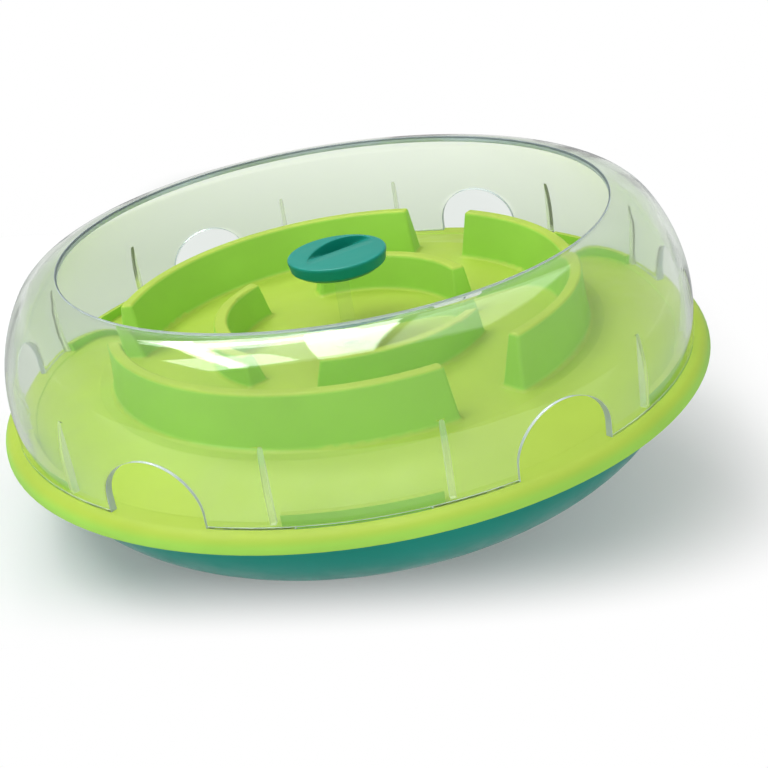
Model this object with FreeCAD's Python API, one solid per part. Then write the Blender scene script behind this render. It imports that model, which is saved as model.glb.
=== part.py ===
import FreeCAD, Part
import math
import os

os.makedirs("parts", exist_ok=True)
V = FreeCAD.Vector
UP = V(0, 0, 1)
ORIGIN = V(0, 0, 0)

# Rocking slow feeder bowl. Millimetres, +Z up, origin at the centre of the foot's flat.
# The exit arches stand at 0, 60, 120 ... degrees and the rib pairs halfway between them.

# Rim of the tray
RIM_R = 143.0
RIM_Z = 57.0
RIM_ROUND = 5.5
RIM_SKIN = 2.5
LEDGE_Z = RIM_Z + RIM_ROUND
LEDGE_R = RIM_R - RIM_ROUND
SEAT_Z = LEDGE_Z - RIM_SKIN

# Rocker base
BASE_A = 130.85
BASE_B = 53.6
BASE_MID_Z = 52.7
BASE_WALL = 2.65
FOOT_SKIN = 2.8
INNER_BANDS = 9
TOWER_R = 15.8
TOWER_BORE_R = 13.2
TOWER_TOP_Z = 50.2
TOWER_PLATE = 2.6
KEY_HOLE_R = 5.2
KEY_SLOT = (25.0, 8.8)
KEY_COUNT = 3
KEY_WIDTH = 2.0
KEY_Z = (53.2, 58.6)
KEY_IN_R = 126.4

# Tray floor, skirt, locating walls and centre boss
FLOOR_Z = 68.2
FLOOR_FLAT_R = 103.0
FLOOR_EDGE_R = 130.6
FLOOR_EDGE_Z = 62.1
LEDGE_IN_R = 131.0
TRAY_SKIN = 2.4
SKIRT_R = (125.2, 127.4)
SKIRT_Z = 53.6
NOTCH_WIDTH = 3.2
NOTCH_TOP_Z = 59.2
BOSS_R = 6.5
BOSS_TOP_Z = 70.4
BOSS_LOW_Z = 50.6
BOSS_BORE_R = 3.4
LOCATOR_R = (131.5, 133.7)
LOCATOR_TOP_Z = 66.4
LOCATOR_HALF = 11.2

# Maze walls: inner and outer radius at the top, top height, half angle at the top and the floor
OUTER_WALL = (89.6, 94.6, 88.8, 50.4, 52.1)
INNER_WALL = (48.2, 53.7, 83.3, 41.3, 44.8)
WALL_DRAFT = 7.5
WALL_ROUND = 1.4
WALL_FOOT_ROUND = 2.0
OUTER_WALL_ANGLES = (-120.0, 0.0, 120.0)
INNER_WALL_ANGLES = (-60.0, 60.0, 180.0)
CORE_TOP_GAP = 4.2

# Clear dome
DOME_R = 137.1
DOME_WALL = 2.6
DOME_BELT_Z = 72.9
LIP_R = 108.6
LIP_BEVEL = 0.8
LIP_Z = 118.4
BROW_R = 20.5
RIB_IN_R = 132.0
RIB_WIDTH = 2.0
RIB_HALF = 12.3
RIB_FOOT_GAP = 0.8
RIB_TOP_Z = 96.0
ARCH_HALF = 19.5
ARCH_LEG = 5.0
ARCH_CROWN = 17.1
TAB_R = (134.7, 136.8)
TAB_LOW_Z = 57.8
TAB_HALF = 9.1
SLOT_R = (134.35, 137.15)
SLOT_HALF = 9.35
ARCH_ANGLES = (0, 60, 120, 180, 240, 300)
MID_ANGLES = (30, 90, 150, 210, 270, 330)

# Knob, spindle and lock bar
KNOB_TOP_Z = 103.9
KNOB_FACE_R = 19.2
KNOB_R = 20.0
KNOB_WIDE_Z = 102.9
KNOB_EDGE = (19.2, 98.9)
KNOB_NECK = (16.5, 97.0)
KNOB_HUB = (6.5, 93.4)
SCOOP_CENTRE = (2.0, -9.1)
SCOOP_HALF = (26.1, 14.5)
SCOOP_ANGLE = 79.0
SCOOP_FLOOR_R = 30.0
SCOOP_FLOOR_ANGLE = 31.0
SCOOP_CREST = 4.9
SPINDLE_R = 3.0
SPINDLE_TOP_Z = 98.3
SPINDLE_FLANGE = (6.0, 70.7, 71.9)
TENON = 3.6
BAR_SIZE = (24.2, 7.8, 3.0)
BAR_TOP_Z = 46.8
SCREW_HOLE_R = 1.1
SCREW_DEPTH = 9.0

# Ballast in the bottom of the base
WEIGHT_R = (17.0, 46.0)
WEIGHT_TOP_Z = 12.0
WEIGHT_GAP = 0.4
COVER_R = (16.6, 66.0)
COVER_Z = 12.3
COVER_SKIN = 2.0
COVER_LIP = 3.0
PILLAR_R = 4.0
PILLAR_AT = 58.0
PILLAR_ANGLES = (30, 150, 270)
COVER_SCREW = (1.6, 3.4, 2.2, 6.4)
PILOT_LOW_Z = 7.6


def turned(shape, degrees):
    copy = shape.copy()
    copy.rotate(ORIGIN, UP, degrees)
    return copy


def cylinder(radius, low, high):
    return Part.makeCylinder(radius, high - low, V(0, 0, low))


def ring(radii, low, high):
    return cylinder(radii[1], low, high).cut(cylinder(radii[0], low, high))


def box(x_size, y_size, low, high, x_mid=0.0, y_mid=0.0):
    corner = V(x_mid - x_size / 2, y_mid - y_size / 2, low)
    return Part.makeBox(x_size, y_size, high - low, corner)


def sector_ring(radii, low, high, half_angle):
    profile = Part.makePolygon([
        V(radii[0], 0, low), V(radii[1], 0, low), V(radii[1], 0, high),
        V(radii[0], 0, high), V(radii[0], 0, low),
    ])
    swept = Part.Face(profile).revolve(ORIGIN, UP, 2 * half_angle)
    return turned(swept, -half_angle)


def line(start, end):
    return Part.makeLine(V(start[0], 0, start[1]), V(end[0], 0, end[1]))


def arc_about(centre, start_degrees, end_degrees, radius):
    angles = [start_degrees, (start_degrees + end_degrees) / 2, end_degrees]
    points = []
    for angle in angles:
        a = math.radians(angle)
        points.append(V(centre[0] + radius * math.cos(a), 0, centre[1] + radius * math.sin(a)))
    return Part.Arc(*points).toShape()


def ellipse_arc(centre_r, centre_z, half_r, half_z, start, end):
    """Arc in the XZ plane; the angle runs from +X towards the sign of half_z."""
    points = []
    steps = 2
    for i in range(steps + 1):
        a = start + (end - start) * i / steps
        points.append(V(centre_r + half_r * math.cos(a), 0, centre_z + half_z * math.sin(a)))
    across = V(centre_r + half_r, 0, centre_z)
    along = V(centre_r, 0, centre_z + half_z)
    if abs(half_r) >= abs(half_z):
        curve = Part.Ellipse(across, along, V(centre_r, 0, centre_z))
    else:
        curve = Part.Ellipse(along, across, V(centre_r, 0, centre_z))
    first = curve.parameter(points[0])
    middle = curve.parameter(points[1])
    last = curve.parameter(points[2])
    low, high = min(first, last), max(first, last)
    if not low < middle < high:
        low, high = high, low + 2 * math.pi
    return Part.ArcOfEllipse(curve, low, high).toShape()


def shoulder(offset):
    """Dome shoulder as two tangent arcs, a slow one above the belt and a tight one at the top."""
    across = DOME_R - LIP_R
    rise = LIP_Z - DOME_BELT_Z
    slow_r = (across ** 2 + rise ** 2 - 2 * rise * BROW_R) / (2 * (across - BROW_R))
    slow_centre = (DOME_R - slow_r, DOME_BELT_Z)
    brow_centre = (LIP_R, LIP_Z - BROW_R)
    meet = math.degrees(math.atan2(brow_centre[1] - slow_centre[1], brow_centre[0] - slow_centre[0]))
    return [
        arc_about(slow_centre, 0, meet, slow_r - offset),
        arc_about(brow_centre, meet, 90, BROW_R - offset),
    ]


def bowl_bands(half_r, half_z, start, end, bands):
    """The same elliptic line as the bowl's outside, drawn as short straight bands for a hidden face."""
    points = []
    for i in range(bands + 1):
        a = start + (end - start) * i / bands
        points.append((half_r * math.cos(a), BASE_MID_Z - half_z * math.sin(a)))
    return [line(a, b) for a, b in zip(points, points[1:])]


def revolved(edges):
    wire = Part.Wire(Part.__sortEdges__(edges))
    return Part.Face(wire).revolve(ORIGIN, UP, 360)


def base_angle(z, half_z):
    return math.asin((BASE_MID_Z - z) / half_z)


def base_bowl():
    """Rocker bowl: an elliptic bottom with a small flat foot and a short upright wall."""
    inner_a = BASE_A - BASE_WALL
    inner_b = BASE_B - BASE_WALL
    foot = base_angle(0, BASE_B)
    floor = base_angle(FOOT_SKIN, inner_b)
    foot_r = BASE_A * math.cos(foot)
    floor_r = inner_a * math.cos(floor)
    return revolved([
        line((0, 0), (foot_r, 0)),
        ellipse_arc(0, BASE_MID_Z, BASE_A, -BASE_B, 0, foot),
        line((BASE_A, BASE_MID_Z), (BASE_A, SEAT_Z)),
        line((BASE_A, SEAT_Z), (inner_a, SEAT_Z)),
        line((inner_a, SEAT_Z), (inner_a, BASE_MID_Z)),
        line((floor_r, FOOT_SKIN), (0, FOOT_SKIN)),
        line((0, FOOT_SKIN), (0, 0)),
    ] + bowl_bands(inner_a, inner_b, 0, floor, INNER_BANDS))


def inner_bowl_solid():
    """The space inside the rocker bowl, used to trim what stands on its curved floor."""
    inner_a = BASE_A - BASE_WALL / 2
    inner_b = BASE_B - BASE_WALL / 2
    return revolved([
        line((0, BASE_MID_Z - inner_b), (0, BASE_MID_Z)),
        line((0, BASE_MID_Z), (inner_a, BASE_MID_Z)),
    ] + bowl_bands(inner_a, inner_b, 0, math.pi / 2, INNER_BANDS))


def make_base_shell():
    shell = base_bowl()
    shell = shell.fuse(cylinder(TOWER_R, FOOT_SKIN / 2, TOWER_TOP_Z))
    pillar = Part.makeCylinder(PILLAR_R, COVER_Z, V(PILLAR_AT, 0, 0))
    pilot = Part.makeCylinder(COVER_SCREW[0], COVER_Z, V(PILLAR_AT, 0, PILOT_LOW_Z))
    pillar = pillar.common(inner_bowl_solid())
    for angle in PILLAR_ANGLES:
        shell = shell.fuse(turned(pillar, angle))
    for angle in PILLAR_ANGLES:
        shell = shell.cut(turned(pilot, angle))
    shell = shell.cut(cylinder(TOWER_BORE_R, -1, TOWER_TOP_Z - TOWER_PLATE))
    shell = shell.cut(cylinder(KEY_HOLE_R, TOWER_TOP_Z - TOWER_PLATE - 1, TOWER_TOP_Z + 1))
    slot = box(KEY_SLOT[0], KEY_SLOT[1], TOWER_TOP_Z - TOWER_PLATE - 1, TOWER_TOP_Z + 1)
    shell = shell.cut(slot)
    wall_r = BASE_A - BASE_WALL / 2
    key = box(wall_r - KEY_IN_R, KEY_WIDTH, KEY_Z[0], KEY_Z[1], (wall_r + KEY_IN_R) / 2)
    for i in range(KEY_COUNT):
        shell = shell.fuse(turned(key, 360 * i / KEY_COUNT))
    return shell.removeSplitter()


def make_foot_cap():
    """Round plug that closes the tower's hollow underneath, with a shallow push-in collar."""
    plug = cylinder(TOWER_BORE_R - 0.3, 0, 2.4)
    collar = ring((TOWER_BORE_R - 2.1, TOWER_BORE_R - 0.3), 2.4, 7.0)
    dimple = cylinder(8.0, 0, 0.8)
    return plug.fuse(collar).cut(dimple).removeSplitter()


def make_ballast_weight():
    """Cast disc round the tower; its underside follows the bowl and rests on the flat floor."""
    inner_a = BASE_A - BASE_WALL - WEIGHT_GAP
    inner_b = BASE_B - BASE_WALL - WEIGHT_GAP
    seat = FOOT_SKIN
    start_r = inner_a * math.cos(base_angle(seat, inner_b))
    mid_r = (start_r + WEIGHT_R[1]) / 2
    mid_z = BASE_MID_Z - inner_b * math.sin(math.acos(mid_r / inner_a)) + WEIGHT_GAP
    edge_z = BASE_MID_Z - inner_b * math.sin(math.acos(WEIGHT_R[1] / inner_a)) + WEIGHT_GAP
    weight = revolved([
        line((WEIGHT_R[0], seat), (start_r, seat)),
        line((start_r, seat), (mid_r, mid_z)),
        line((mid_r, mid_z), (WEIGHT_R[1], edge_z)),
        line((WEIGHT_R[1], edge_z), (WEIGHT_R[1], WEIGHT_TOP_Z - 1)),
        line((WEIGHT_R[1], WEIGHT_TOP_Z - 1), (WEIGHT_R[1] - 1, WEIGHT_TOP_Z)),
        line((WEIGHT_R[1] - 1, WEIGHT_TOP_Z), (WEIGHT_R[0], WEIGHT_TOP_Z)),
        line((WEIGHT_R[0], WEIGHT_TOP_Z), (WEIGHT_R[0], seat)),
    ])
    return weight


def make_ballast_cover():
    """Flat annular lid over the weight with a turned-up edge and three screw holes."""
    top = COVER_Z + COVER_SKIN
    lid = ring(COVER_R, COVER_Z, top)
    lid = lid.fuse(ring((COVER_R[1] - COVER_SKIN, COVER_R[1]), top, top + COVER_LIP))
    lid = lid.fuse(ring((COVER_R[0], COVER_R[0] + COVER_SKIN), top, top + COVER_LIP))
    hole = Part.makeCylinder(COVER_SCREW[0] + 0.4, COVER_SKIN + 2, V(PILLAR_AT, 0, COVER_Z - 1))
    for angle in PILLAR_ANGLES:
        lid = lid.cut(turned(hole, angle))
    return lid.removeSplitter()


def cover_screw():
    """Upright screw: shank below and a tapered head above, its cross recess left out."""
    shank_r, head_r, head_high, length = COVER_SCREW
    seat = COVER_Z + COVER_SKIN
    shank = Part.makeCylinder(shank_r, length, V(PILLAR_AT, 0, seat - length))
    head = Part.makeCone(head_r, head_r * 0.6, head_high, V(PILLAR_AT, 0, seat))
    return shank.fuse(head)


def make_cover_screws():
    return Part.makeCompound([turned(cover_screw(), angle) for angle in PILLAR_ANGLES])


def tray_profile():
    """Section of the tray without its maze: boss, floor, fall to the ledge, rolled rim and skirt."""
    under = FLOOR_Z - TRAY_SKIN
    fall_r = FLOOR_FLAT_R - 0.3
    seat_r = FLOOR_EDGE_R - 2.0
    slope = (under - SEAT_Z) / (seat_r - fall_r)
    skirt_in_z = under - slope * (SKIRT_R[0] - fall_r)
    rim_centre = (LEDGE_R, RIM_Z)
    points = [
        (LEDGE_R, LEDGE_Z), (LEDGE_IN_R, LEDGE_Z), (FLOOR_EDGE_R, FLOOR_EDGE_Z),
        (FLOOR_FLAT_R, FLOOR_Z), (BOSS_R + 1.2, FLOOR_Z), (BOSS_R, FLOOR_Z + 1.2),
        (BOSS_R, BOSS_TOP_Z), (BOSS_BORE_R, BOSS_TOP_Z), (BOSS_BORE_R, BOSS_LOW_Z),
        (BOSS_R - 0.4, BOSS_LOW_Z), (BOSS_R, under), (fall_r, under),
        (SKIRT_R[0], skirt_in_z), (SKIRT_R[0], SKIRT_Z), (SKIRT_R[1], SKIRT_Z),
        (SKIRT_R[1], SEAT_Z), (LEDGE_R, SEAT_Z),
    ]
    edges = [line(a, b) for a, b in zip(points, points[1:])]
    edges.append(line((LEDGE_R, SEAT_Z), (RIM_R - RIM_SKIN, SEAT_Z - RIM_ROUND / 4)))
    edges.append(line((RIM_R - RIM_SKIN, SEAT_Z - RIM_ROUND / 4), (RIM_R - RIM_SKIN, RIM_Z)))
    edges.append(line((RIM_R - RIM_SKIN, RIM_Z), (RIM_R, RIM_Z)))
    edges.append(arc_about(rim_centre, 0, 90, RIM_ROUND))
    return edges


def wall_section(inner_r, outer_r, top_z, low_z, draft_from):
    """Trapezoid of a maze wall, wider towards the floor by the mould's draft."""
    spread = (draft_from - low_z) * math.tan(math.radians(WALL_DRAFT))
    top_spread = (draft_from - top_z) * math.tan(math.radians(WALL_DRAFT))
    return Part.Face(Part.makePolygon([
        V(inner_r - spread, 0, low_z), V(outer_r + spread, 0, low_z),
        V(outer_r + top_spread, 0, top_z), V(inner_r - top_spread, 0, top_z),
        V(inner_r - spread, 0, low_z),
    ]))


def end_cutter(mid_r, half_low, half_top, low_z, top_z, side):
    """Block that trims a maze wall's end to a plane leaning back towards the wall."""
    lean = math.degrees(math.atan2(math.radians(half_low - half_top) * mid_r, top_z - low_z))
    block = Part.makeBox(120, 80, 80, V(-60, 0, -20))
    block.rotate(ORIGIN, V(1, 0, 0), lean)
    block.translate(V(mid_r, 0, low_z))
    block = turned(block, half_low)
    if side < 0:
        block = block.mirror(ORIGIN, V(0, 1, 0))
    return block


def maze_ridge(wall):
    inner_r, outer_r, top_z, half_top, half_low = wall
    low_z = FLOOR_Z - 1.0
    mid_r = (inner_r + outer_r) / 2
    section = wall_section(inner_r, outer_r, top_z, low_z, top_z)
    ridge = turned(section.revolve(ORIGIN, UP, 2 * half_low + 10), -half_low - 5)
    for side in (1, -1):
        ridge = ridge.cut(end_cutter(mid_r, half_low, half_top, FLOOR_Z, top_z, side))
    edges = [e for e in ridge.Edges if e.BoundBox.ZMax > low_z + 1]
    return ridge.makeFillet(WALL_ROUND, edges)


def maze_core(wall):
    """Hollow under a maze wall, open below, so the wall is a folded skin as moulded."""
    inner_r, outer_r, top_z, half_top, half_low = wall
    mid_r = (inner_r + outer_r) / 2
    spread = (top_z - FLOOR_Z) * math.tan(math.radians(WALL_DRAFT))
    half_width = (outer_r - inner_r) / 2 + spread - TRAY_SKIN + 0.2
    trim = math.degrees(TRAY_SKIN * 1.6 / mid_r)
    high = top_z - CORE_TOP_GAP
    section = Part.Face(Part.makePolygon([
        V(mid_r - half_width, 0, FLOOR_Z - TRAY_SKIN - 0.5),
        V(mid_r + half_width, 0, FLOOR_Z - TRAY_SKIN - 0.5),
        V(mid_r + 0.9, 0, high), V(mid_r - 0.9, 0, high),
        V(mid_r - half_width, 0, FLOOR_Z - TRAY_SKIN - 0.5),
    ]))
    half = half_top - trim
    return turned(section.revolve(ORIGIN, UP, 2 * half), -half)


def foot_edges(tray):
    """The lines where the maze walls meet the flat floor, clear of the boss and of the floor's rim."""
    edges = []
    for edge in tray.Edges:
        bounds = edge.BoundBox
        level = abs(bounds.ZMin - FLOOR_Z) < 0.001 and abs(bounds.ZMax - FLOOR_Z) < 0.001
        reach = [math.hypot(v.Point.x, v.Point.y) for v in edge.Vertexes]
        if level and min(reach) > 2 * BOSS_R and max(reach) < FLOOR_FLAT_R - 0.5:
            edges.append(edge)
    return edges


def make_tray():
    tray = revolved(tray_profile())
    walls = [(OUTER_WALL, a) for a in OUTER_WALL_ANGLES] + [(INNER_WALL, a) for a in INNER_WALL_ANGLES]
    for wall, angle in walls:
        tray = tray.fuse(turned(maze_ridge(wall), angle))
    tray = tray.removeSplitter()
    tray = tray.makeFillet(WALL_FOOT_ROUND, foot_edges(tray))
    for wall, angle in walls:
        tray = tray.cut(turned(maze_core(wall), angle))
    locator = sector_ring(LOCATOR_R, LEDGE_Z - 1, LOCATOR_TOP_Z, LOCATOR_HALF)
    slot = sector_ring(SLOT_R, SEAT_Z - 1, LEDGE_Z + 1, SLOT_HALF)
    for angle in MID_ANGLES:
        tray = tray.fuse(turned(locator, angle))
        tray = tray.cut(turned(slot, angle))
    notch = box(SKIRT_R[1] - SKIRT_R[0] + 2, NOTCH_WIDTH, SKIRT_Z - 1, NOTCH_TOP_Z, sum(SKIRT_R) / 2)
    for i in range(KEY_COUNT):
        tray = tray.cut(turned(notch, 360 * i / KEY_COUNT))
    return tray.removeSplitter()


def dome_shell():
    """Upright belt, rounded shoulder and a bevelled lip round the open top."""
    inner_r = DOME_R - DOME_WALL
    lip_in = LIP_R - LIP_BEVEL
    return revolved([
        line((inner_r, LEDGE_Z), (DOME_R, LEDGE_Z)),
        line((DOME_R, LEDGE_Z), (DOME_R, DOME_BELT_Z)),
        line((LIP_R, LIP_Z), (lip_in, LIP_Z - LIP_BEVEL)),
        line((lip_in, LIP_Z - LIP_BEVEL), (lip_in, LIP_Z - DOME_WALL + LIP_BEVEL)),
        line((lip_in, LIP_Z - DOME_WALL + LIP_BEVEL), (LIP_R, LIP_Z - DOME_WALL)),
        line((inner_r, DOME_BELT_Z), (inner_r, LEDGE_Z)),
    ] + shoulder(0) + shoulder(DOME_WALL))


def dome_filled():
    """The dome filled to the middle of its wall, used to trim the ribs."""
    skin = DOME_WALL / 2
    return revolved([
        line((0, LEDGE_Z), (DOME_R - skin, LEDGE_Z)),
        line((DOME_R - skin, LEDGE_Z), (DOME_R - skin, DOME_BELT_Z)),
        line((LIP_R, LIP_Z - skin), (0, LIP_Z - skin)),
        line((0, LIP_Z - skin), (0, LEDGE_Z)),
    ] + shoulder(skin))


def arch_cutter():
    """Exit arch: straight legs under a half-ellipse crown, cut square through the belt."""
    low = LEDGE_Z - 1
    spring = LEDGE_Z + ARCH_LEG
    crown = Part.Ellipse(V(0, ARCH_HALF, spring), V(0, 0, spring + ARCH_CROWN), V(0, 0, spring))
    arc = Part.ArcOfEllipse(crown, 0, math.pi).toShape()
    legs = Part.makePolygon([
        V(0, -ARCH_HALF, spring), V(0, -ARCH_HALF, low), V(0, ARCH_HALF, low), V(0, ARCH_HALF, spring),
    ])
    wire = Part.Wire(Part.__sortEdges__([arc] + legs.Edges))
    return Part.Face(wire).extrude(V(60, 0, 0)).translated(V(100, 0, 0))


def make_dome():
    dome = dome_shell()
    rib = box(DOME_R - RIB_IN_R, RIB_WIDTH, LEDGE_Z + RIB_FOOT_GAP, RIB_TOP_Z, (DOME_R + RIB_IN_R) / 2)
    rib = rib.common(dome_filled())
    tab = sector_ring(TAB_R, TAB_LOW_Z, LEDGE_Z + 1, TAB_HALF)
    for angle in MID_ANGLES:
        for side in (-RIB_HALF, RIB_HALF):
            dome = dome.fuse(turned(rib, angle + side))
        dome = dome.fuse(turned(tab, angle))
    arch = arch_cutter()
    for angle in ARCH_ANGLES:
        dome = dome.cut(turned(arch, angle))
    return dome.removeSplitter()


def knob_body():
    edge_r, edge_z = KNOB_EDGE
    neck_r, neck_z = KNOB_NECK
    hub_r, hub_z = KNOB_HUB
    round_x = KNOB_R - 0.27 * (KNOB_R - KNOB_FACE_R)
    round_z = KNOB_TOP_Z - 0.27 * (KNOB_TOP_Z - KNOB_WIDE_Z)
    top_round = Part.Arc(
        V(KNOB_FACE_R, 0, KNOB_TOP_Z), V(round_x, 0, round_z), V(KNOB_R, 0, KNOB_WIDE_Z)
    ).toShape()
    return revolved([
        line((0, KNOB_TOP_Z), (KNOB_FACE_R, KNOB_TOP_Z)),
        top_round,
        line((KNOB_R, KNOB_WIDE_Z), (edge_r, edge_z)),
        line((edge_r, edge_z), (neck_r, neck_z)),
        line((neck_r, neck_z), (hub_r, neck_z)),
        line((hub_r, neck_z), (hub_r, hub_z)),
        line((hub_r, hub_z), (0, hub_z)),
        line((0, hub_z), (0, KNOB_TOP_Z)),
    ])


def knob_scoop():
    """Finger recess: an elliptic outline with a steep back wall over a floor that rolls up to the face."""
    half_long, half_short = SCOOP_HALF
    outline = Part.Ellipse(ORIGIN, half_long, half_short).toShape()
    well = Part.Face(Part.Wire([outline])).extrude(V(0, 0, 14))
    well = turned(well, SCOOP_ANGLE).translated(V(SCOOP_CENTRE[0], SCOOP_CENTRE[1], KNOB_TOP_Z - 12))
    start = V(-60, -SCOOP_CREST, KNOB_TOP_Z - SCOOP_FLOOR_R)
    roll = Part.makeCylinder(SCOOP_FLOOR_R, 120, start, V(1, 0, 0))
    front = Part.makeBox(120, 60, 20, V(-60, -SCOOP_CREST - 60, KNOB_TOP_Z - 14))
    keep = turned(roll.fuse(front), SCOOP_FLOOR_ANGLE)
    return well.cut(keep)


def make_knob():
    knob = knob_body().cut(knob_scoop())
    knob = knob.cut(cylinder(SPINDLE_R, KNOB_HUB[1] - 1, SPINDLE_TOP_Z))
    return knob.removeSplitter()


def make_spindle():
    """Clear shaft with a bearing flange, a square tenon for the bar and a pilot hole."""
    flange_r, flange_low, flange_high = SPINDLE_FLANGE
    bar_low = BAR_TOP_Z - BAR_SIZE[2]
    shaft = cylinder(SPINDLE_R, BAR_TOP_Z, SPINDLE_TOP_Z)
    shaft = shaft.fuse(cylinder(flange_r, flange_low, flange_high))
    shaft = shaft.fuse(box(TENON, TENON, bar_low, BAR_TOP_Z))
    shaft = shaft.cut(cylinder(SCREW_HOLE_R, bar_low - 1, bar_low + SCREW_DEPTH))
    return shaft.removeSplitter()


def make_lock_bar():
    long, wide, thick = BAR_SIZE
    bar = box(long, wide, BAR_TOP_Z - thick, BAR_TOP_Z)
    bar = bar.common(cylinder(long / 2, BAR_TOP_Z - thick, BAR_TOP_Z))
    return bar.cut(box(TENON, TENON, BAR_TOP_Z - thick - 1, BAR_TOP_Z + 1))


def make_bar_screw():
    """Washer-head screw driven up into the spindle from below."""
    low = BAR_TOP_Z - BAR_SIZE[2]
    washer = cylinder(3.4, low - 0.8, low)
    head = cylinder(2.3, low - 2.6, low - 0.8)
    shank = cylinder(SCREW_HOLE_R, low, low + SCREW_DEPTH - 1)
    return washer.fuse(head).fuse(shank).removeSplitter()


NODES = {
    "base_shell": make_base_shell,
    "foot_cap": make_foot_cap,
    "ballast_weight": make_ballast_weight,
    "ballast_cover": make_ballast_cover,
    "cover_screws": make_cover_screws,
    "tray": make_tray,
    "dome": make_dome,
    "knob": make_knob,
    "spindle": make_spindle,
    "lock_bar": make_lock_bar,
    "bar_screw": make_bar_screw,
}

for name, make in NODES.items():
    shape = make()
    shape.exportStep("parts/" + name + ".step")
    box_now = shape.BoundBox
    print(name, len(shape.Solids), "valid", shape.isValid(), "volume", round(shape.Volume),
          [round(v, 1) for v in (box_now.XMin, box_now.XMax, box_now.YMin, box_now.YMax,
                                 box_now.ZMin, box_now.ZMax)])
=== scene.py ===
import math

import bpy
from mathutils import Matrix, Vector


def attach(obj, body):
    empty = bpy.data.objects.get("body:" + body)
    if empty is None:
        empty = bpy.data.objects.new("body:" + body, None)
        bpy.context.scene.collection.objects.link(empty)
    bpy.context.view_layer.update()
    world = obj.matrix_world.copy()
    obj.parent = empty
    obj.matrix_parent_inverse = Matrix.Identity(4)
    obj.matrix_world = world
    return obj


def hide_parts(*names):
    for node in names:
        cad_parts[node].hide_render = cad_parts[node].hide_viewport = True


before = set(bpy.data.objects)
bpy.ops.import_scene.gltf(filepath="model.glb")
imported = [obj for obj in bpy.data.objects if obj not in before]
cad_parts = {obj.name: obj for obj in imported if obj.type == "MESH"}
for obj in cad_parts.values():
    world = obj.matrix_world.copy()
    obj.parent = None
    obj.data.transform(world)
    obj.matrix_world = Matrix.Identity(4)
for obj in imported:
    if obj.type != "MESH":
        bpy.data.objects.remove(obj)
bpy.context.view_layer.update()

# Rocker base: a thin round-bottomed bowl with the locking tower moulded inside it, in satin teal
# plastic. It is one injection moulding, so its colour is even and its skin has a very fine texture.
MM = 0.001
BASE_TEAL = (0.006, 0.25, 0.20)
BASE_GLOSS = (0.30, 0.42)
BASE_RELIEF = (0.02 * MM, 0.004 * MM)
DULL_SHINE = 0.2
PIGMENT_PATCH = 22.0
PIGMENT_DRIFT = (0.95, 1.04)
FLOW_RIPPLE = 90.0
TEXTURE_GRAIN = 2600.0
NOISE_SPAN = (0.3, 0.7)
PAINTED_SHADE_SPAN = (0.30, 0.92)


def new_material(name):
    """A material with nodes. Gives the material, its node tree and its surface shader."""
    material = bpy.data.materials.new(name)
    material.use_nodes = True
    tree = material.node_tree
    return material, tree, tree.nodes["Principled BSDF"]


def add(tree, kind, sockets, **settings):
    """Adds a shader node. Each socket is given another node's output, or else a plain value."""
    node = tree.nodes.new(kind)
    for key, value in settings.items():
        setattr(node, key, value)
    for key, value in sockets.items():
        if isinstance(value, bpy.types.NodeSocket):
            tree.links.new(value, node.inputs[key])
        else:
            node.inputs[key].default_value = value
    return node


def noise(tree, where, scale, detail):
    """Cloudy noise from 0 to 1 that is fixed to the piece."""
    sockets = {"Vector": where, "Scale": scale, "Detail": detail}
    return add(tree, "ShaderNodeTexNoise", sockets).outputs["Fac"]


def spread(tree, source, span, low, high, curve="LINEAR"):
    """Turns a value within a span into one from low to high."""
    sockets = {"Value": source, "From Min": span[0], "From Max": span[1], "To Min": low, "To Max": high}
    return add(tree, "ShaderNodeMapRange", sockets, interpolation_type=curve).outputs["Result"]


def two_tone(tree, factor, first, second):
    """A colour that runs from the first to the second as the factor goes from 0 to 1."""
    sockets = {"Factor": factor, "A": (*first, 1.0), "B": (*second, 1.0)}
    return add(tree, "ShaderNodeMix", sockets, data_type="RGBA").outputs["Result"]


def grained_skin(name, level, steep, gloss, relief, shine=0.35, metallic=0.0):
    """A moulded or cast skin. Level and steep faces may be given different tones, a painted shade for how
    light falls on them. The tone drifts slowly, and the skin has flow ripples and a fine grain."""
    material, tree, shader = new_material(name)
    shader.inputs["IOR"].default_value = 1.5
    shader.inputs["Specular IOR Level"].default_value = shine
    shader.inputs["Metallic"].default_value = metallic
    where = add(tree, "ShaderNodeTexCoord", {})
    place = where.outputs["Object"]
    up = add(tree, "ShaderNodeSeparateXYZ", {"Vector": where.outputs["Normal"]}).outputs["Z"]
    # Painted shade: steep faces take the steep colour, level faces the level one.
    tone = two_tone(tree, spread(tree, up, PAINTED_SHADE_SPAN, 0.0, 1.0, "SMOOTHSTEP"), steep, level)
    patches = noise(tree, place, PIGMENT_PATCH, detail=3.0)
    drift = spread(tree, patches, NOISE_SPAN, *PIGMENT_DRIFT, "SMOOTHSTEP")
    colour = add(tree, "ShaderNodeHueSaturation", {"Value": drift, "Color": tone}).outputs["Color"]
    tree.links.new(colour, shader.inputs["Base Color"])
    flow = noise(tree, place, FLOW_RIPPLE, detail=4.0)
    tree.links.new(spread(tree, flow, NOISE_SPAN, *gloss, "SMOOTHSTEP"), shader.inputs["Roughness"])
    ripple, grain = relief
    slow = noise(tree, place, FLOW_RIPPLE, detail=1.0)
    waves = add(tree, "ShaderNodeBump", {"Distance": ripple, "Height": slow}).outputs["Normal"]
    fine = noise(tree, place, TEXTURE_GRAIN, detail=2.0)
    skin = add(tree, "ShaderNodeBump", {"Distance": grain, "Height": fine, "Normal": waves})
    tree.links.new(skin.outputs["Normal"], shader.inputs["Normal"])
    return material


def dress(node, material):
    """Gives a part of the frame its finish."""
    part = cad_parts[node]
    part.data.materials.clear()
    part.data.materials.append(material)


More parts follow.
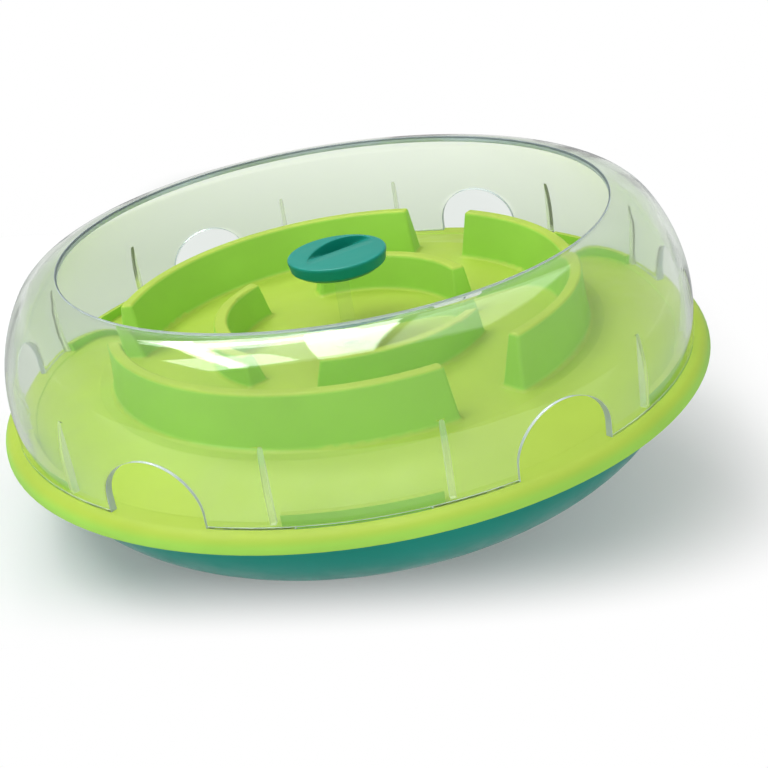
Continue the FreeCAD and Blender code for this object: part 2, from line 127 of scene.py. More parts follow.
teal_plastic = grained_skin("teal_plastic", BASE_TEAL, BASE_TEAL, BASE_GLOSS, BASE_RELIEF, DULL_SHINE)
dress("base_shell", teal_plastic)
dress("foot_cap", teal_plastic)

# Ballast: a grey cast ring that lies round the tower in the bottom of the base. Casting leaves its
# skin rough and blotchy.
CAST_GREY = (0.15, 0.155, 0.16)
CAST_GLOSS = (0.5, 0.7)
CAST_RELIEF = (0.1 * MM, 0.08 * MM)
cast_metal = grained_skin("cast_metal", CAST_GREY, CAST_GREY, CAST_GLOSS, CAST_RELIEF, metallic=1.0)
dress("ballast_weight", cast_metal)

# Ballast cover: a flat moulded lid in the base's own teal. It lies over the weight and is screwed
# down round it.
dress("ballast_cover", teal_plastic)

# Cover screws: three pan-head screws with a cross recess, in plated steel. They are pressed and
# rolled, and hold the lid down round the weight.
SCREW_STEEL = (0.55, 0.56, 0.57)
SCREW_GLOSS = (0.22, 0.34)
SCREW_RELIEF = (0.01 * MM, 0.006 * MM)
SCREW_RING = 58.0 * MM
SCREW_SEAT_Z = 14.3 * MM
SCREW_HEAD_R = 3.4 * MM
SCREW_HEAD_HIGH = 2.2 * MM
SCREW_DOME = 0.9 * MM
SCREW_SHANK_R = 1.6 * MM
SCREW_SHANK_LONG = 6.4 * MM
SCREW_LAP = 0.5 * MM
RECESS_LONG = 3.6 * MM
RECESS_WIDE = 0.8 * MM
RECESS_DEEP = 1.3 * MM
SCREW_TURNS = (30, 150, 270)
HAIR = 0.001 * MM

scene = bpy.context.scene


def take(*pieces):
    """Selects only these pieces, the first as the active one."""
    bpy.ops.object.select_all(action="DESELECT")
    for piece in pieces:
        piece.select_set(True)
    bpy.context.view_layer.objects.active = pieces[0]


def edit(piece):
    """Opens a piece for editing with all of its mesh selected."""
    take(piece)
    bpy.ops.object.mode_set(mode="EDIT")
    bpy.ops.mesh.select_mode(type="VERT")
    bpy.ops.mesh.select_all(action="SELECT")


def leave():
    bpy.ops.object.mode_set(mode="OBJECT")


def pick_edges(piece, wanted):
    """Opens a piece for editing with only those edges selected for whose two ends the test holds."""
    take(piece)
    mesh = piece.data
    for vertex in mesh.vertices:
        vertex.select = False
    for face in mesh.polygons:
        face.select = False
    for edge in mesh.edges:
        start, end = (mesh.vertices[i].co for i in edge.vertices)
        edge.select = bool(wanted(start, end))
    bpy.ops.object.mode_set(mode="EDIT")
    bpy.ops.mesh.select_mode(type="EDGE")


def round_edges(piece, wanted, size, segments, **settings):
    """Rounds the edges of a piece for whose two ends the test holds."""
    pick_edges(piece, wanted)
    bpy.ops.mesh.bevel(offset=size, segments=segments, affect="EDGES", **settings)
    leave()


def apply_modifier(piece, kind, **settings):
    take(piece)
    modifier = piece.modifiers.new(kind.lower(), kind)
    for key, value in settings.items():
        setattr(modifier, key, value)
    bpy.ops.object.modifier_apply(modifier=modifier.name)


def block(name, low, high):
    """A box between two corners, as the start of a tool or a piece."""
    bpy.ops.object.select_all(action="DESELECT")
    bpy.ops.mesh.primitive_cube_add(size=1.0)
    piece = bpy.context.object
    piece.name = name
    size = [b - a for a, b in zip(low, high)]
    middle = [(a + b) / 2 for a, b in zip(low, high)]
    piece.data.transform(Matrix.Translation(middle) @ Matrix.Diagonal((*size, 1.0)))
    return piece


def drum(name, radius, low, high, sides):
    """An upright round between two heights, as the start of a tool or a piece."""
    bpy.ops.object.select_all(action="DESELECT")
    bpy.ops.mesh.primitive_cylinder_add(vertices=sides, radius=radius, depth=high - low)
    piece = bpy.context.object
    piece.name = name
    piece.data.transform(Matrix.Translation((0, 0, (low + high) / 2)))
    return piece


def combine(piece, tool, operation, **settings):
    """Joins a tool to a piece or cuts it away, and drops the tool."""
    apply_modifier(piece, "BOOLEAN", object=tool, operation=operation, solver="EXACT", **settings)
    bpy.data.objects.remove(tool)


def turned_copy(piece, angle):
    """A copy with its own mesh, turned about the bowl's axis."""
    twin = piece.copy()
    twin.data = piece.data.copy()
    twin.data.transform(Matrix.Rotation(angle, 4, "Z"))
    scene.collection.objects.link(twin)
    return twin


head_top = SCREW_SEAT_Z + SCREW_HEAD_HIGH
screw = drum("cover_screw", SCREW_HEAD_R, SCREW_SEAT_Z, head_top, sides=48)
round_edges(screw, lambda a, b: min(a.z, b.z) > head_top - HAIR, SCREW_DOME, segments=5)
shank_foot = SCREW_SEAT_Z - SCREW_SHANK_LONG
shank = drum("shank", SCREW_SHANK_R, shank_foot, SCREW_SEAT_Z + SCREW_LAP, sides=32)
combine(screw, shank, "UNION")
for long, wide in ((RECESS_LONG, RECESS_WIDE), (RECESS_WIDE, RECESS_LONG)):
    slot = block("slot", (-long / 2, -wide / 2, head_top - RECESS_DEEP), (long / 2, wide / 2, head_top + MM))
    combine(screw, slot, "DIFFERENCE")
screw.data.transform(Matrix.Translation((SCREW_RING, 0, 0)))
screws = [turned_copy(screw, math.radians(turn)) for turn in SCREW_TURNS]
bpy.data.objects.remove(screw)
take(*screws)
bpy.ops.object.join()
bpy.ops.object.shade_smooth_by_angle(angle=math.radians(35))
cover_screws = bpy.context.object
cover_screws.name = "cover_screw_set"
steel = grained_skin("plated_steel", SCREW_STEEL, SCREW_STEEL, SCREW_GLOSS, SCREW_RELIEF, metallic=1.0)
cover_screws.data.materials.append(steel)
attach(cover_screws, "base")
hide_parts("cover_screws")

# Tray: the lime maze, one moulding with a rolled rim, a ledge for the dome and hollow drafted walls.
# Its standing walls are painted a greener tone than its level faces, a painted shade for walls lit
# mostly by light bounced off the lime floor.
LIME_LEVEL = (0.45, 0.62, 0.07)
# The steep colour is a painted shade for the standing walls.
LIME_STEEP_PAINTED_SHADE = (0.37, 0.71, 0.095)
LIME_GLOSS = (0.40, 0.52)
LIME_RELIEF = (0.03 * MM, 0.004 * MM)
lime_plastic = grained_skin("lime_plastic", LIME_LEVEL, LIME_STEEP_PAINTED_SHADE, LIME_GLOSS, LIME_RELIEF, DULL_SHINE)
dress("tray", lime_plastic)

# Lock bar and its screw: the quarter-turn key under the tray, in the knob's plastic, held on the
# spindle's square end by a washer-head steel screw.
KNOB_TEAL = (0.010, 0.295, 0.235)
# The shade colour is a painted shade, given to the steep faces of the knob and the lock bar.
KNOB_PAINTED_SHADE = (0.003, 0.24, 0.17)
KNOB_GLOSS = (0.34, 0.44)
KNOB_RELIEF = (0.02 * MM, 0.005 * MM)
knob_plastic = grained_skin("knob_plastic", KNOB_TEAL, KNOB_PAINTED_SHADE, KNOB_GLOSS, KNOB_RELIEF, DULL_SHINE)
dress("lock_bar", knob_plastic)
dress("bar_screw", steel)

# Spindle: a moulded rod of clear plastic that carries the knob through the middle of the tray, with
# the lock bar on its lower end. It is so clear that it hardly shows over the lime floor.
ROD_TINT = (0.62, 0.80, 0.35, 1.0)
ROD_GLOSS = (0.2, 0.35)
ROD_WEAR = 150.0
ROD_BODY = 0.10
rod_plastic, tree, shader = new_material("clear_rod")
shader.inputs["Base Color"].default_value = ROD_TINT
shader.inputs["IOR"].default_value = 1.3
shader.inputs["Alpha"].default_value = ROD_BODY
place = add(tree, "ShaderNodeTexCoord", {}).outputs["Object"]
wear = noise(tree, place, ROD_WEAR, detail=2.0)
tree.links.new(spread(tree, wear, (0.0, 1.0), *ROD_GLOSS), shader.inputs["Roughness"])
dress("spindle", rod_plastic)

# Knob: a solid round button with a scooped finger recess, moulded in teal with softly rounded edges.
# Its side tapers in below the face to a step, and a short hub under it grips the spindle.
KNOB_TOP_Z = 103.9 * MM
KNOB_FACE_R = 19.2 * MM
KNOB_R = 20.0 * MM
KNOB_WIDE_Z = 102.9 * MM
KNOB_STEP = (19.2 * MM, 98.9 * MM)
KNOB_NECK = (16.5 * MM, 97.0 * MM)
KNOB_HUB = (6.5 * MM, 93.4 * MM)
KNOB_ROUND_STEPS = 6
KNOB_STEPS = 128
KNOB_GRID = 0.34 * MM
KNOB_MERGE = 0.02 * MM
SCOOP_CENTRE = (2.0 * MM, -9.1 * MM)
SCOOP_HALF = (26.1 * MM, 14.5 * MM)
SCOOP_TURN = math.radians(79.0)
SCOOP_DEEP = 12.0 * MM
SCOOP_FLOOR_R = 30.0 * MM
SCOOP_FLOOR_TURN = math.radians(31.0)
SCOOP_CREST = 4.9 * MM
SCOOP_GRID = 0.5 * MM
TOOL_REACH = 60.0 * MM
TOOL_ABOVE = 8.0 * MM
FRONT_BELOW = 14.0 * MM
FRONT_ABOVE = 10.0 * MM


def chain(name, points, closed=False):
    """A row of points joined by edges, as the start of a piece."""
    edges = [(i, i + 1) for i in range(len(points) - 1)]
    if closed:
        edges.append((len(points) - 1, 0))
    mesh = bpy.data.meshes.new(name)
    mesh.from_pydata(points, edges, [])
    piece = bpy.data.objects.new(name, mesh)
    scene.collection.objects.link(piece)
    return piece


profile = [(0, 0, KNOB_TOP_Z)]
for i in range(KNOB_ROUND_STEPS + 1):
    turn = math.pi / 2 * (1 - i / KNOB_ROUND_STEPS)
    profile.append((
        KNOB_FACE_R + (KNOB_R - KNOB_FACE_R) * math.cos(turn), 0,
        KNOB_WIDE_Z + (KNOB_TOP_Z - KNOB_WIDE_Z) * math.sin(turn),
    ))
profile += [(KNOB_STEP[0], 0, KNOB_STEP[1]), (KNOB_NECK[0], 0, KNOB_NECK[1])]
profile += [(KNOB_HUB[0], 0, KNOB_NECK[1]), (KNOB_HUB[0], 0, KNOB_HUB[1]), (0, 0, KNOB_HUB[1])]
knob = chain("knob_button", profile)
edit(knob)
bpy.ops.mesh.spin(steps=KNOB_STEPS, angle=2 * math.pi, center=(0, 0, 0), axis=(0, 0, 1))
bpy.ops.mesh.select_all(action="SELECT")
bpy.ops.mesh.remove_doubles(threshold=KNOB_MERGE)
bpy.ops.mesh.normals_make_consistent(inside=False)
leave()
scoop = drum("scoop", 1.0, KNOB_TOP_Z - SCOOP_DEEP, KNOB_TOP_Z + TOOL_ABOVE, sides=160)
scoop.data.transform(
    Matrix.Translation((*SCOOP_CENTRE, 0))
    @ Matrix.Rotation(SCOOP_TURN, 4, "Z")
    @ Matrix.Diagonal((*SCOOP_HALF, 1.0, 1.0))
)
roll = drum("roll", SCOOP_FLOOR_R, -TOOL_REACH, TOOL_REACH, sides=360)
roll.data.transform(
    Matrix.Rotation(SCOOP_FLOOR_TURN, 4, "Z")
    @ Matrix.Translation((0, -SCOOP_CREST, KNOB_TOP_Z - SCOOP_FLOOR_R))
    @ Matrix.Rotation(math.pi / 2, 4, "Y")
)
combine(scoop, roll, "DIFFERENCE")
front = block(
    "front",
    (-TOOL_REACH, -SCOOP_CREST - TOOL_REACH, KNOB_TOP_Z - FRONT_BELOW),
    (TOOL_REACH, -SCOOP_CREST, KNOB_TOP_Z + FRONT_ABOVE),
)
front.data.transform(Matrix.Rotation(SCOOP_FLOOR_TURN, 4, "Z"))
combine(scoop, front, "DIFFERENCE")
apply_modifier(scoop, "REMESH", mode="VOXEL", voxel_size=SCOOP_GRID)
apply_modifier(scoop, "SMOOTH", factor=0.5, iterations=24)
combine(knob, scoop, "DIFFERENCE")
apply_modifier(knob, "REMESH", mode="VOXEL", voxel_size=KNOB_GRID, use_smooth_shade=True)
apply_modifier(knob, "SMOOTH", factor=0.5, iterations=5)
knob.data.materials.clear()
knob.data.materials.append(knob_plastic)
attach(knob, "knob")
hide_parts("knob")

# Dome: the clear cover, one thin moulding with an open top, six exit arches, six pairs of ribs inside
# and six tabs under its foot that drop into the tray's slots. Its cut edges and ribs are frosted, and
# coloured with painted light: a grey-blue painted shade on the cut edges, a dark painted shade on the
# lip's top edge and a pale lime painted highlight on the ribs.
DOME_R = 137.1 * MM
DOME_WALL = 2.6 * MM
FOOT_Z = 62.5 * MM
BELT_TOP_Z = 72.9 * MM
LIP_R = 108.6 * MM
LIP_Z = 118.4 * MM
LIP_IN = 0.8 * MM
BROW_R = 20.5 * MM
SECTORS = 6
SECTOR = 2 * math.pi / SECTORS
ARCH_HALF = 19.5 * MM
ARCH_LEG = 5.0 * MM
ARCH_CROWN = 17.1 * MM
ARCH_LEG_STEPS = 3
ARCH_CROWN_STEPS = 36
SHEET_SIDE_STEPS = 10
SHEET_TOP_STEPS = 22
SHEET_LOW = 31.0 * MM
SHEET_RINGS = 8
ROW = 2.4 * MM
DOME_EDGE = 0.35 * MM
SEAM_MERGE = 0.05 * MM
EDGE_MERGE = 0.01 * MM
LEVEL_WITHIN = 0.1 * MM
RIB_IN_R = 132.0 * MM
RIB_WIDTH = 2.0 * MM
RIB_FOOT_Z = 63.3 * MM
RIB_HALF = math.radians(12.3)
RIB_STEPS = 24
RIB_NOSE = 0.2 * MM
RIB_TIP = 0.8 * MM
RIB_ROUND = 0.5 * MM
TAB_R = (134.7 * MM, 136.8 * MM)
TAB_Z = (57.8 * MM, 63.5 * MM)
TAB_HALF = math.radians(9.1)
TAB_STEPS = 12
TAB_ROUND = 0.6 * MM
CLEAR_TINT = (0.94, 0.985, 0.94, 1.0)
CLEAR_FLOW = 26.0
CLEAR_WAVES = 0.4 * MM
CLEAR_GLOSS = (0.01, 0.05)
CLEAR_SHADOW = (0.94, 0.97, 0.94, 1.0)
# Painted shades: grey-blue on the dome's cut edges, dark on the lip's top edge.
EDGE_PAINTED_SHADE = (0.52, 0.60, 0.68)
LIP_PAINTED_SHADE = (0.16, 0.22, 0.24)
# Painted pale lime highlight on the ribs.
RIB_PAINTED_HIGHLIGHT = (0.82, 0.90, 0.70)
FROST_SPECKLE = 900.0
FROST_SHADOW = (0.9, 0.93, 0.9, 1.0)

across = DOME_R - LIP_R
rise = LIP_Z - BELT_TOP_Z
slow_r = (across**2 + rise**2 - 2 * rise * BROW_R) / (2 * (across - BROW_R))
meet = math.atan2(rise - BROW_R, LIP_R - (DOME_R - slow_r))
belt_run = BELT_TOP_Z - FOOT_Z
slow_run = slow_r * meet
brow_run = BROW_R * (math.pi / 2 - meet)
full_run = belt_run + slow_run + brow_run


def shoulder_point(run, inward):
    """Radius and height of the dome's skin, a run up from its foot and a depth in from its outside."""
    if run <= belt_run:
        return DOME_R - inward, FOOT_Z + run
    if run <= belt_run + slow_run:
        turn = (run - belt_run) / slow_r
        reach = slow_r - inward
        return DOME_R - slow_r + reach * math.cos(turn), BELT_TOP_Z + reach * math.sin(turn)
    if run <= full_run:
        turn = meet + (run - belt_run - slow_run) / BROW_R
        reach = BROW_R - inward
        return LIP_R + reach * math.cos(turn), LIP_Z - BROW_R + reach * math.sin(turn)
    return LIP_R - (run - full_run), LIP_Z - inward


def by_ray(tree, usual, others):
    """Shows some kinds of rays another shader than the usual one. A later kind outranks an earlier."""
    path = add(tree, "ShaderNodeLightPath", {})
    for kind, other in others:
        choice = add(tree, "ShaderNodeMixShader", {0: path.outputs[kind], 1: usual, 2: other})
        usual = choice.outputs[0]
    return usual


def let_light_through(tree, shader, tint):
    """Light that only passes through, on its way to the tray or as a shadow, goes straight on."""
    straight = add(tree, "ShaderNodeBsdfTransparent", {"Color": tint}).outputs[0]
    passing = (("Is Shadow Ray", straight), ("Is Diffuse Ray", straight))
    shown = by_ray(tree, shader.outputs[0], passing)
    tree.links.new(shown, tree.nodes["Material Output"].inputs["Surface"])


def polished_plastic(name):
    """Clear polished plastic with the slow waves that a mould leaves."""
    material, tree, shader = new_material(name)
    shader.inputs["Base Color"].default_value = CLEAR_TINT
    shader.inputs["Transmission Weight"].default_value = 1.0
    shader.inputs["IOR"].default_value = 1.57
    place = add(tree, "ShaderNodeTexCoord", {}).outputs["Object"]
    flow = noise(tree, place, CLEAR_FLOW, detail=1.0)
    waves = add(tree, "ShaderNodeBump", {"Distance": CLEAR_WAVES, "Height": flow})
    tree.links.new(waves.outputs["Normal"], shader.inputs["Normal"])
    tree.links.new(spread(tree, flow, (0.0, 1.0), *CLEAR_GLOSS), shader.inputs["Roughness"])
    let_light_through(tree, shader, CLEAR_SHADOW)
    return material


def frosted_plastic(name, colour, clear_part, roughness, body=1.0):
    """Clear plastic with a matt skin, as a saw or a textured mould leaves it. Its colour is painted light:
    a shade on cut edges, a pale highlight on ribs.
    """
    material, tree, shader = new_material(name)
    shader.inputs["Base Color"].default_value = (*colour, 1.0)
    shader.inputs["Transmission Weight"].default_value = clear_part
    shader.inputs["IOR"].default_value = 1.5
    shader.inputs["Alpha"].default_value = body
    place = add(tree, "ShaderNodeTexCoord", {}).outputs["Object"]
    speckle = noise(tree, place, FROST_SPECKLE, detail=2.0)
    matt = spread(tree, speckle, (0.0, 1.0), roughness * 0.8, roughness * 1.2)
    tree.links.new(matt, shader.inputs["Roughness"])
    let_light_through(tree, shader, FROST_SHADOW)
    return material


clear_plastic = polished_plastic("clear_plastic")
cut_edge_painted_shade = frosted_plastic("cut_edge_painted_shade", EDGE_PAINTED_SHADE, clear_part=0.35, roughness=0.40)
lip_edge_painted_shade = frosted_plastic("lip_edge_painted_shade", LIP_PAINTED_SHADE, clear_part=0.45, roughness=0.55)
rib_skin_painted_highlight = frosted_plastic("rib_skin_painted_highlight", RIB_PAINTED_HIGHLIGHT, clear_part=0.1, roughness=0.40, body=0.36)
SKINS = (clear_plastic, cut_edge_painted_shade, lip_edge_painted_shade)

# One sector of the dome is laid out flat round its arch, rolled up onto the shoulder's curve, turned
# round six times and then given its wall.
half_sector = DOME_R * SECTOR / 2
outline = [(-ARCH_HALF, ARCH_LEG * i / ARCH_LEG_STEPS, 0) for i in range(ARCH_LEG_STEPS)]
for i in range(ARCH_CROWN_STEPS + 1):
    turn = math.pi - math.pi * i / ARCH_CROWN_STEPS
    outline.append((ARCH_HALF * math.cos(turn), ARCH_LEG + ARCH_CROWN * math.sin(turn), 0))
outline += [(ARCH_HALF, ARCH_LEG * i / ARCH_LEG_STEPS, 0) for i in reversed(range(ARCH_LEG_STEPS))]
border = [(-half_sector, SHEET_LOW * i / SHEET_SIDE_STEPS, 0) for i in range(SHEET_SIDE_STEPS)]
for i in range(SHEET_TOP_STEPS + 1):
    border.append((-half_sector + 2 * half_sector * i / SHEET_TOP_STEPS, SHEET_LOW, 0))
border += [(half_sector, SHEET_LOW * i / SHEET_SIDE_STEPS, 0) for i in reversed(range(SHEET_SIDE_STEPS))]
dome = chain("dome_cover", outline)
rest = chain("dome_border", border)
take(dome, rest)
bpy.ops.object.join()
edit(dome)
bpy.ops.mesh.select_mode(type="EDGE")
bpy.ops.mesh.bridge_edge_loops(number_cuts=SHEET_RINGS, interpolation="LINEAR")
leave()
rows = round((full_run - SHEET_LOW) / ROW)
pick_edges(dome, lambda a, b: min(a.y, b.y) > SHEET_LOW - HAIR)
for step in [(full_run - SHEET_LOW) / rows] * rows + [LIP_IN]:
    bpy.ops.mesh.extrude_region_move(TRANSFORM_OT_translate={"value": (0, step, 0)})
bpy.ops.mesh.select_all(action="SELECT")
bpy.ops.mesh.subdivide(number_cuts=1)
leave()
for vertex in dome.data.vertices:
    reach, height = shoulder_point(vertex.co.y, 0)
    turn = vertex.co.x / DOME_R
    vertex.co = (reach * math.cos(turn), reach * math.sin(turn), height)
edit(dome)
others = SECTORS - 1
bpy.ops.mesh.spin(steps=others, dupli=True, angle=others * SECTOR, center=(0, 0, 0), axis=(0, 0, 1))
bpy.ops.mesh.select_all(action="SELECT")
bpy.ops.mesh.remove_doubles(threshold=SEAM_MERGE)
bpy.ops.mesh.normals_make_consistent(inside=False)
leave()
for skin in SKINS:
    dome.data.materials.append(skin)
rim_painted_shade_slot = SKINS.index(cut_edge_painted_shade)
apply_modifier(
    dome, "SOLIDIFY", thickness=DOME_WALL, offset=-1.0, use_even_offset=True, material_offset_rim=rim_painted_shade_slot
)
# The lip's top edge gets the dark painted shade, its lower edge the grey-blue painted shade.
for above, skin in ((True, lip_edge_painted_shade), (False, cut_edge_painted_shade)):
    round_edges(
        dome,
        lambda a, b: max(a.xy.length, b.xy.length) < LIP_R - LIP_IN + LEVEL_WITHIN
        and abs(a.z - b.z) < LEVEL_WITHIN
        and (a.z > LIP_Z - LEVEL_WITHIN) == above
        and (a.z < LIP_Z - DOME_WALL + LEVEL_WITHIN) != above,
        LIP_IN, segments=4, material=SKINS.index(skin),
    )
apply_modifier(
    dome, "BEVEL", width=DOME_EDGE, segments=3, limit_method="ANGLE",
    angle_limit=math.radians(50), material=rim_painted_shade_slot,
)
edit(dome)
bpy.ops.mesh.remove_doubles(threshold=EDGE_MERGE)
leave()

# Between the arches stand pairs of thin upright ribs that fade into the shoulder, and under each
# pair is a curved tab.
runs = [full_run * i / RIB_STEPS + RIB_FOOT_Z - FOOT_Z for i in range(RIB_STEPS)]
line_up = [shoulder_point(run, DOME_WALL / 2) for run in runs]
side = [(RIB_IN_R, 0, RIB_FOOT_Z)] + [(r, 0, z) for r, z in line_up if r > RIB_IN_R + RIB_NOSE]
side.append((RIB_IN_R, 0, side[-1][2] + RIB_TIP))
rib = chain("dome_ribs", side, closed=True)
edit(rib)
bpy.ops.mesh.edge_face_add()
bpy.ops.mesh.extrude_region_move(TRANSFORM_OT_translate={"value": (0, RIB_WIDTH, 0)})
bpy.ops.mesh.select_all(action="SELECT")
bpy.ops.transform.translate(value=(0, -RIB_WIDTH / 2, 0))
bpy.ops.mesh.normals_make_consistent(inside=False)
leave()
round_edges(
    rib, lambda a, b: max(a.x, b.x) < RIB_IN_R + HAIR and abs(a.z - b.z) > MM, RIB_ROUND, segments=3
)
tab_half = TAB_HALF * DOME_R
tab = block("dome_tab", (TAB_R[0], -tab_half, TAB_Z[0]), (TAB_R[1], tab_half, TAB_Z[1]))
edit(tab)
for i in range(1, TAB_STEPS):
    bpy.ops.mesh.select_all(action="SELECT")
    bpy.ops.mesh.bisect(plane_co=(0, tab_half * (2 * i / TAB_STEPS - 1), 0), plane_no=(0, 1, 0))
leave()
round_edges(
    tab, lambda a, b: max(a.z, b.z) < TAB_Z[0] + HAIR and abs(a.y - b.y) > LEVEL_WITHIN,
    TAB_ROUND, segments=3,
)
for vertex in tab.data.vertices:
    turn = vertex.co.y / DOME_R
    vertex.co = (vertex.co.x * math.cos(turn), vertex.co.x * math.sin(turn), vertex.co.z)
# The ribs get a painted pale lime highlight.
rib.data.materials.append(rib_skin_painted_highlight)
tab.data.materials.append(clear_plastic)
extras = []
for i in range(SECTORS):
    between = SECTOR * (i + 0.5)
    extras.append(turned_copy(tab, between))
    extras.append(turned_copy(rib, between - RIB_HALF))
    extras.append(turned_copy(rib, between + RIB_HALF))
for master in (tab, rib):
    bpy.data.objects.remove(master)
take(*extras)
bpy.ops.object.join()
combine(dome, extras[0], "UNION", material_mode="TRANSFER")
take(dome)
bpy.ops.object.shade_smooth_by_angle(angle=math.radians(40))
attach(dome, "dome")
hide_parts("dome")

# Camera: stands in front of the bowl and above it, where the photograph was taken from. The bowl
# leans on the floor there, so in the bowl's own frame the camera leans instead.
CAMERA_AT = (0.018620, -0.467785, 0.268268)
CAMERA_RIGHT = (0.988678, -0.050803, -0.14122)
CAMERA_UP = (0.149253, 0.431430, 0.88972)
LENS = 58.02
FILM_WIDTH = 36.0

camera_data = bpy.data.cameras.new("camera")
camera_data.lens = LENS
camera_data.sensor_width = FILM_WIDTH
camera = bpy.data.objects.new("camera", camera_data)
scene.collection.objects.link(camera)
back = Vector(CAMERA_RIGHT).cross(Vector(CAMERA_UP))
facing = Matrix((CAMERA_RIGHT, CAMERA_UP, back)).transposed().to_4x4()
camera.matrix_world = Matrix.Translation(CAMERA_AT) @ facing
scene.camera = camera

# Floor: white paper that the bowl rocks on, so it leans in the bowl's own frame. Away from the shadow
# it is plain white, as a cut-out photograph's ground is, but behind the bowl a soft grey shade is
# painted on it, which shows through the far arches. From below it isn't seen.
FLOOR_UP = Vector((0.1428, 0.0025, 0.98975)).normalized()
FLOOR_DROP = -4.09 * MM
PAPER = (0.85, 0.85, 0.85, 1.0)
PAPER_LIFT = 0.13
SHADOW_MID = (-0.100, 0.120, 0.0)
SHADOW_HALF = (0.251, 0.183, 1.0)
SHADOW_FADE = (0.87, 2.45)
BEHIND_MID = (0.0, 0.33, 0.0)
BEHIND_HALF = (0.17, 0.20, 1.0)
BEHIND_FADE = (0.05, 1.0)
BEHIND_PAINTED_SHADE = (0.79, 0.83, 0.80, 1.0)
THROUGH_SPAN = (0.30, 0.65)
THROUGH_NEAR = (0.64, 0.69, 0.61)
THROUGH_FAR = (0.97, 0.98, 0.95)
MIRRORED_SPAN = (-0.34, -0.16)
MIRRORED_FRONT = (0.95, 0.95, 0.95)
MIRRORED_BACK = (0.55, 0.57, 0.57)

bpy.ops.object.select_all(action="DESELECT")
bpy.ops.mesh.primitive_plane_add(size=6.0)
floor = bpy.context.object
floor.name = "floor"
lean = Vector((0, 0, 1)).rotation_difference(FLOOR_UP).to_matrix().to_4x4()
floor.data.transform(Matrix.Translation(FLOOR_UP * FLOOR_DROP) @ lean)
paper, tree, matt = new_material("floor_paper")
matt.inputs["Base Color"].default_value = PAPER
matt.inputs["Roughness"].default_value = 0.9
matt.inputs["Specular IOR Level"].default_value = 0.0
where = add(tree, "ShaderNodeTexCoord", {}).outputs["Object"]
behind = add(tree, "ShaderNodeSeparateXYZ", {0: where}).outputs["Y"]


def outside(middle, half, fade):
    """0 within a rounded rectangle on the floor and 1 outside it, with a soft border."""
    sockets = {"Location": middle, "Scale": half, "Vector": where}
    place = add(tree, "ShaderNodeMapping", sockets, vector_type="TEXTURE").outputs["Vector"]
    square = add(tree, "ShaderNodeVectorMath", {0: place, 1: place}, operation="MULTIPLY").outputs["Vector"]
    fourth = add(tree, "ShaderNodeVectorMath", {0: square, 1: square}, operation="DOT_PRODUCT")
    return spread(tree, fourth.outputs["Value"], fade, 0.0, 1.0, "SMOOTHSTEP")


def glow(**sockets):
    return add(tree, "ShaderNodeEmission", sockets).outputs[0]


def blend(factor, first, second):
    return add(tree, "ShaderNodeMixShader", {0: factor, 1: first, 2: second}).outputs[0]


def glow_along(span, near, far):
    """A glow whose colour changes with the distance behind the bowl."""
    return glow(Color=two_tone(tree, spread(tree, behind, span, 0.0, 1.0), near, far))


lifted = add(tree, "ShaderNodeAddShader", {0: matt.outputs[0], 1: glow(Strength=PAPER_LIFT)}).outputs[0]
lightened = blend(outside(SHADOW_MID, SHADOW_HALF, SHADOW_FADE), lifted, glow())
# A painted soft grey shade behind the bowl, in place of the lit paper.
ground = blend(outside(BEHIND_MID, BEHIND_HALF, BEHIND_FADE), glow(Color=BEHIND_PAINTED_SHADE), lightened)
unseen = add(tree, "ShaderNodeBsdfTransparent", {}).outputs[0]
from_above = blend(add(tree, "ShaderNodeNewGeometry", {}).outputs["Backfacing"], ground, unseen)
shown = by_ray(tree, matt.outputs[0], (
    ("Is Glossy Ray", glow_along(MIRRORED_SPAN, MIRRORED_FRONT, MIRRORED_BACK)),
    ("Is Transmission Ray", glow_along(THROUGH_SPAN, THROUGH_NEAR, THROUGH_FAR)),
    ("Is Camera Ray", from_above),
))
tree.links.new(shown, tree.nodes["Material Output"].inputs["Surface"])
floor.data.materials.append(paper)

# Studio: a white surround, a little stronger from the front, with a pale grey backdrop behind the
# clear dome and darker walls for the gloss to mirror. Two soft boxes light the bowl, and a row of
# panels overhead shows only in the gloss of the dome's brow.
FILL = 0.64
FILL_FROM_FRONT = 0.46
MIRROR_TOP = (0.12, 0.35)
MIRROR_HORIZON = (0.15, 0.75)
HORIZON_HEIGHT = 0.4
BACKDROP = (0.68, 0.73, 0.66, 1.0)
WHITE = (1.0, 1.0, 1.0, 1.0)
HORIZON_TURN = (-0.5, 0.3)
ALL_ROUND = (-1.0, 1.0)
KEY_AT = (-0.42, -0.08, 1.0)
KEY_AIM = (0.0, 0.0, 0.05)
KEY_SIZE = (0.4, 0.4)
KEY_POWER = 3.6
BACK_AT = (-0.27, 0.62, 1.02)
BACK_AIM = (0.0, -0.1, 0.1)
BACK_SIZE = (0.5, 0.3)
BACK_POWER = 2.6
PANEL_Y = 0.275
PANEL_AIM_Y = 0.2751
PANEL_Z = 1.15
PANEL_LONG = 1.25
PANELS = (
    ("strip_panel", -0.50, 0.105, 3.7),
    ("dim_panel", -0.2925, 0.295, 1.9),
    ("bright_panel", -0.0225, 0.245, 7.0),
    ("right_panel", 0.45, 0.6, 3.2),
)
BOUNCES = 24

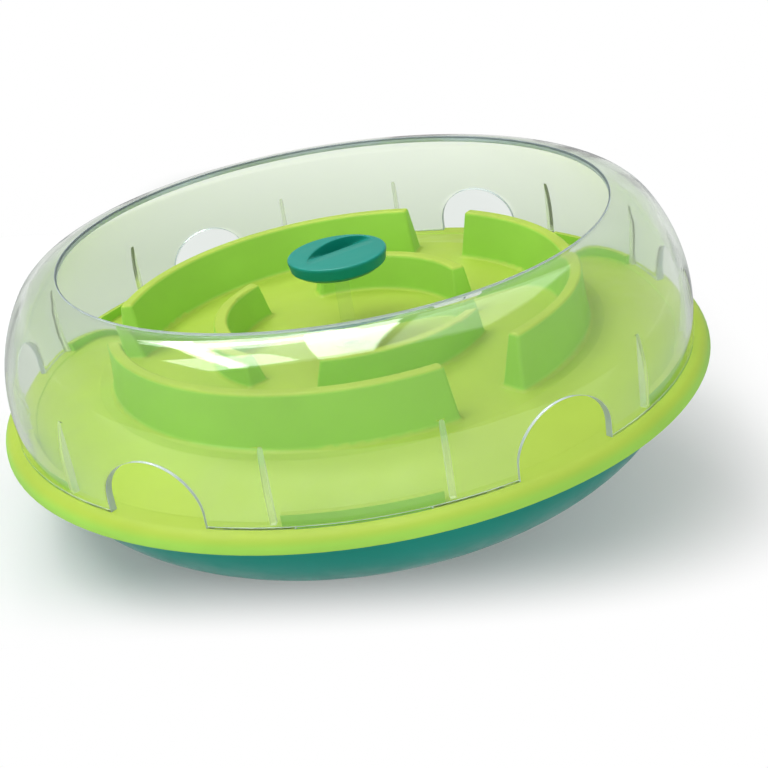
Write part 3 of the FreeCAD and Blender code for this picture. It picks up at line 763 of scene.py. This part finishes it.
world = bpy.data.worlds.new("studio")
scene.world = world
world.use_nodes = True
tree = world.node_tree
where = add(tree, "ShaderNodeTexCoord", {}).outputs["Generated"]
direction = add(tree, "ShaderNodeSeparateXYZ", {0: where}).outputs


def ramp(axis, span, first, second):
    """A value that runs from first to second as the direction turns along an axis."""
    return spread(tree, direction[axis], span, first, second)


def surround(**sockets):
    return add(tree, "ShaderNodeBackground", sockets).outputs[0]


mirror_low = ramp("Y", HORIZON_TURN, *MIRROR_HORIZON)
mirror_high = ramp("Y", ALL_ROUND, *MIRROR_TOP)
mirror = ramp("Z", (0.0, HORIZON_HEIGHT), mirror_low, mirror_high)
fill = ramp("Y", ALL_ROUND, FILL + FILL_FROM_FRONT, FILL - FILL_FROM_FRONT)
sky = by_ray(tree, surround(Color=WHITE, Strength=fill), (
    ("Is Glossy Ray", surround(Color=WHITE, Strength=mirror)),
    ("Is Transmission Ray", surround(Color=BACKDROP)),
    ("Is Camera Ray", surround(Color=WHITE)),
))
tree.links.new(sky, tree.nodes["World Output"].inputs["Surface"])


def soft_box(name, place, aim, size, power):
    lamp_data = bpy.data.lights.new(name, "AREA")
    lamp_data.shape = "RECTANGLE"
    lamp_data.size, lamp_data.size_y = size
    lamp_data.energy = power
    lamp = bpy.data.objects.new(name, lamp_data)
    scene.collection.objects.link(lamp)
    lamp.location = place
    lamp.rotation_euler = (Vector(aim) - Vector(place)).to_track_quat("-Z", "Y").to_euler()
    return lamp


left_key = soft_box("left_key", KEY_AT, KEY_AIM, KEY_SIZE, KEY_POWER)
left_key.visible_glossy = False
soft_box("back_window", BACK_AT, BACK_AIM, BACK_SIZE, BACK_POWER)
for name, middle, wide, power in PANELS:
    place = (middle, PANEL_Y, PANEL_Z)
    panel = soft_box(name, place, (middle, PANEL_AIM_Y, 0.0), (wide, PANEL_LONG), power)
    panel.visible_diffuse = False
scene.view_settings.view_transform = "Standard"
scene.cycles.use_denoising = True
scene.cycles.caustics_refractive = False
scene.cycles.caustics_reflective = False
scene.cycles.max_bounces = BOUNCES
scene.cycles.transmission_bounces = BOUNCES
scene.cycles.transparent_max_bounces = BOUNCES
